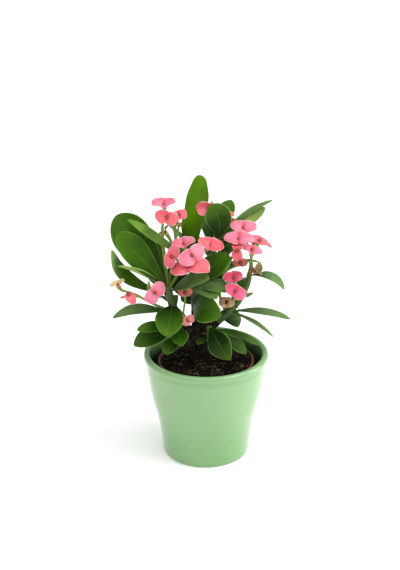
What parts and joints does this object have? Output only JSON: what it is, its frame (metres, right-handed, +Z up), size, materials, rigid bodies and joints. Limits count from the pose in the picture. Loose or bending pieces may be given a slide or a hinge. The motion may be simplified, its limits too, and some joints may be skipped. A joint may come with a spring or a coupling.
{
  "type": "crown of thorns plant",
  "caption": "Flowering crown of thorns plant with spoon-shaped leaves and pairs of pink bracts, in a nursery pot set into a glazed cachepot.",
  "frame": {"origin": "centre of the cachepot's flat underside, on the surface it stands on", "axes": "+Z up, along the pot's axis; -Y is the side that the picture shows; +X to the viewer's right"},
  "size_m": [0.185, 0.1625, 0.2985],
  "materials": {
    "pale_green_glaze": "gloss glaze",
    "brown_plastic": "matte",
    "peat": "matte, rough",
    "bark": "matte, rough",
    "leaf_green": "satin",
    "bract_pink": "satin"
  },
  "bodies": {
    "root": {"bloom_a1": "bract_pink", "bloom_a2": "bract_pink", "bloom_a3": "bract_pink", "bloom_a4": "bract_pink", "bloom_a5": "bract_pink", "bloom_b1": "bract_pink", "bloom_b2": "bract_pink", "bloom_c1": "bract_pink", "bloom_c2": "bract_pink", "bloom_c3": "bract_pink", "bloom_c4": "bract_pink", "bloom_c5": "bract_pink", "bloom_d1": "bract_pink", "bloom_d2": "bract_pink", "bloom_d3": "bract_pink", "bloom_d4": "bract_pink", "bloom_d5": "bract_pink", "bloom_d6": "bract_pink", "bloom_d7": "bract_pink", "bloom_d8": "bract_pink", "bloom_e1": "bract_pink", "bloom_e2": "bract_pink", "bloom_e3": "bract_pink", "bloom_f1": "bract_pink", "bloom_f2": "bract_pink", "bloom_f3": "bract_pink", "bloom_g1": "bract_pink", "bloom_g2": "bract_pink", "bloom_h1": "bract_pink", "bloom_h2": "bract_pink", "bloom_h3": "bract_pink", "bloom_h4": "bract_pink", "cachepot": "pale_green_glaze", "leafy_shoot_back": "leaf_green", "leafy_shoot_left": "leaf_green", "leafy_shoot_low_left": "leaf_green", "leafy_shoot_low_right": "leaf_green", "leafy_shoot_mid": "leaf_green", "leafy_shoot_right": "leaf_green", "leafy_shoot_tall": "leaf_green", "nursery_pot": "brown_plastic", "potting_soil": "peat", "woody_trunk": "bark"}
  },
  "joints": []
}
